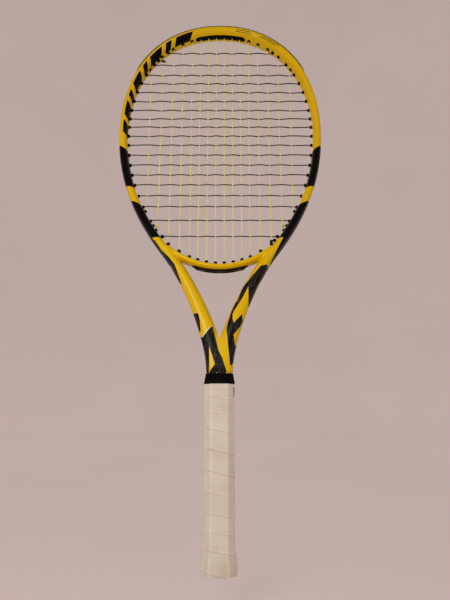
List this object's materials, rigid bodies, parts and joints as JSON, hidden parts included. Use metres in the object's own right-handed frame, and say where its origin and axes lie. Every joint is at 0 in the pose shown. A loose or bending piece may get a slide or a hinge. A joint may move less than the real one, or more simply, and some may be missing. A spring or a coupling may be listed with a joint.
{
  "type": "tennis racket",
  "caption": "Adult tennis racket with a hollow oval carbon head, open throat, woven string bed, wrapped octagonal handle and flared butt cap.",
  "frame": {"origin": "centre of the butt end, at the bottom of the butt cap", "axes": "+Z from the butt to the tip of the head, +X across the head to the right as the front is seen, -Y out of the front face"},
  "size_m": [0.263, 0.0358, 0.6858],
  "materials": {
    "frame_paint": "gloss yellow lacquer with black panels over carbon fibre",
    "grommet_nylon": "satin black nylon",
    "main_string": "pale yellow monofilament, slightly glossy",
    "cross_string": "near-black monofilament, slightly glossy",
    "handle_foam": "moulded polyurethane foam",
    "base_grip": "perforated synthetic leather",
    "finishing_tape": "matt vinyl tape",
    "overgrip": "off-white tacky overgrip, faintly pored",
    "collar_rubber": "matt black rubber",
    "cap_plastic": "matt black plastic",
    "staple_steel": "bright wire"
  },
  "bodies": {
    "root": {"frame": "frame_paint", "throat_bridge": "frame_paint", "bumper_guard": "grommet_nylon", "head_inner_strip": "grommet_nylon", "side_grommet_strip_left": "grommet_nylon", "side_grommet_strip_right": "grommet_nylon", "throat_grommet_strip": "grommet_nylon", "main_string": "main_string", "cross_string": "cross_string", "main_string_knot_left": "main_string", "main_string_knot_right": "main_string", "cross_string_knot_top": "cross_string", "cross_string_knot_bottom": "cross_string", "handle_pallet": "handle_foam", "base_grip": "base_grip", "finishing_tape": "finishing_tape", "overgrip": "overgrip", "rubber_collar": "collar_rubber", "butt_cap": "cap_plastic", "butt_cap_staple_front": "staple_steel", "butt_cap_staple_back": "staple_steel"},
    "trap_door": {"butt_trap_door": "cap_plastic"}
  },
  "joints": [
    {"name": "trap_door_pull", "type": "slide", "parent": "root", "child": "trap_door", "axis": [0, 0, -1], "range_m": [0, 0.012]}
  ]
}
